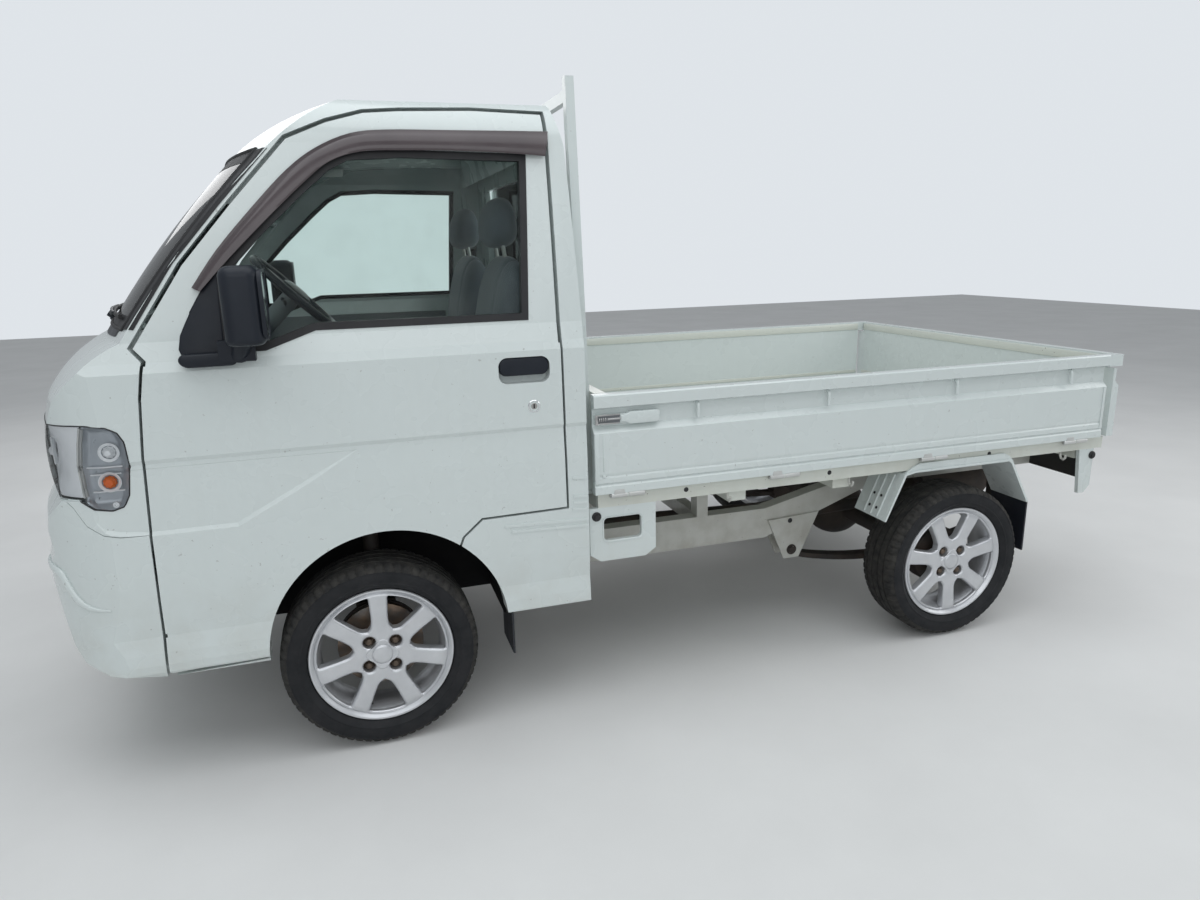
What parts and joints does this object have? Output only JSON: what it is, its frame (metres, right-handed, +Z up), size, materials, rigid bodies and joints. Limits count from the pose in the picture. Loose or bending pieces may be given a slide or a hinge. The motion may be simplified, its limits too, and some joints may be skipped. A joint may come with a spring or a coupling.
{
  "type": "kei truck",
  "caption": "Small cab-over pickup truck with hinged doors, a drop-side bed with folding gates, a guard frame, steered front wheels and alloy rims.",
  "frame": {"origin": "middle of the bounding box, on the ground plane under the tyres", "axes": "+X forward, +Y to the truck's left, +Z up"},
  "size_m": [3.3948, 1.746, 1.7753],
  "materials": {
    "white_paint": "gloss white paint, worn",
    "bed_paint": "cream bed paint, scuffed and dusty",
    "frame_paint": "dusty grey chassis paint",
    "dark_metal": "dull dark metal",
    "black_plastic": "textured black plastic",
    "trim_plastic": "grey grained plastic",
    "alloy": "silver painted alloy",
    "tyre": "black tyre rubber",
    "rubber": "black rubber",
    "window_glass": "slightly green clear glass",
    "lamp_lens": "clear lamp lens",
    "red_lens": "red lamp lens",
    "smoked_plastic": "smoked brown acrylic",
    "seat_fabric": "grey woven seat cloth"
  },
  "bodies": {
    "body": {"bed_floor": "bed_paint", "cab_floor": "trim_plastic", "cab_shell": "white_paint", "chassis_frame": "frame_paint", "dashboard": "trim_plastic", "engine_block": "dark_metal", "exhaust": "dark_metal", "front_bumper": "white_paint", "front_panel": "white_paint", "front_suspension": "dark_metal", "fuel_tank": "dark_metal", "guard_frame": "white_paint", "headlamps": "lamp_lens", "mudflaps": "rubber", "rear_axle": "dark_metal", "rear_springs": "dark_metal", "rear_valance": "black_plastic", "rear_window": "window_glass", "seat_backs": "seat_fabric", "seat_cushions": "seat_fabric", "side_brackets": "white_paint", "tail_lamps": "red_lens", "wheel_guards": "white_paint", "windshield": "window_glass", "wipers": "black_plastic"},
    "door_left": {"door_left": "white_paint", "door_glass_left": "window_glass", "visor_left": "smoked_plastic", "mirror_left": "black_plastic"},
    "door_right": {"door_right": "white_paint", "door_glass_right": "window_glass", "visor_right": "smoked_plastic", "mirror_right": "black_plastic"},
    "gate_left": {"gate_left": "white_paint"},
    "gate_right": {"gate_right": "white_paint"},
    "tail_gate": {"tail_gate": "white_paint"},
    "knuckle_left": {"knuckle_left": "dark_metal"},
    "knuckle_right": {"knuckle_right": "dark_metal"},
    "steering_wheel": {"steering_wheel": "black_plastic"},
    "wheel_front_left": {"tyre_front_left": "tyre", "rim_front_left": "alloy"},
    "wheel_front_right": {"tyre_front_right": "tyre", "rim_front_right": "alloy"},
    "wheel_rear_left": {"tyre_rear_left": "tyre", "rim_rear_left": "alloy"},
    "wheel_rear_right": {"tyre_rear_right": "tyre", "rim_rear_right": "alloy"}
  },
  "joints": [
    {"name": "door_left_hinge", "type": "hinge", "parent": "body", "child": "door_left", "pos_m": [1.41, 0.718, 0.8], "axis": [0, 0, -1], "range_deg": [0, 65]},
    {"name": "door_right_hinge", "type": "hinge", "parent": "body", "child": "door_right", "pos_m": [1.41, -0.718, 0.8], "axis": [0, 0, 1], "range_deg": [0, 65]},
    {"name": "gate_left_hinge", "type": "hinge", "parent": "body", "child": "gate_left", "pos_m": [-0.7, 0.7295, 0.65], "axis": [-1, 0, 0], "range_deg": [0, 170]},
    {"name": "gate_right_hinge", "type": "hinge", "parent": "body", "child": "gate_right", "pos_m": [-0.7, -0.7295, 0.65], "axis": [1, 0, 0], "range_deg": [0, 170]},
    {"name": "tail_gate_hinge", "type": "hinge", "parent": "body", "child": "tail_gate", "pos_m": [-1.6895, 0, 0.65], "axis": [0, -1, 0], "range_deg": [0, 170]},
    {"name": "steering_wheel_turn", "type": "hinge", "parent": "body", "child": "steering_wheel", "pos_m": [1.005, -0.33, 1.205], "axis": [-0.7071, 0, 0.7071], "range_deg": [-512, 512]},
    {"name": "steer_left", "type": "hinge", "parent": "body", "child": "knuckle_left", "pos_m": [0.837, 0.595, 0.18], "axis": [0, -0.2425, 0.9701], "range_deg": [-32, 32]},
    {"name": "steer_right", "type": "hinge", "parent": "body", "child": "knuckle_right", "pos_m": [0.837, -0.595, 0.18], "axis": [0, 0.2425, 0.9701], "range_deg": [-32, 32]},
    {"name": "wheel_front_left_spin", "type": "hinge", "parent": "knuckle_left", "child": "wheel_front_left", "pos_m": [0.837, 0.652, 0.266], "axis": [0, 1, 0], "continuous": true},
    {"name": "wheel_front_right_spin", "type": "hinge", "parent": "knuckle_right", "child": "wheel_front_right", "pos_m": [0.837, -0.652, 0.266], "axis": [0, 1, 0], "continuous": true},
    {"name": "wheel_rear_left_spin", "type": "hinge", "parent": "body", "child": "wheel_rear_left", "pos_m": [-1.063, 0.652, 0.266], "axis": [0, 1, 0], "continuous": true},
    {"name": "wheel_rear_right_spin", "type": "hinge", "parent": "body", "child": "wheel_rear_right", "pos_m": [-1.063, -0.652, 0.266], "axis": [0, 1, 0], "continuous": true}
  ],
  "couplings": [
    {"joint": "steer_right", "follows": "steer_left", "ratio": 1},
    {"joint": "steering_wheel_turn", "follows": "steer_left", "ratio": 16}
  ]
}
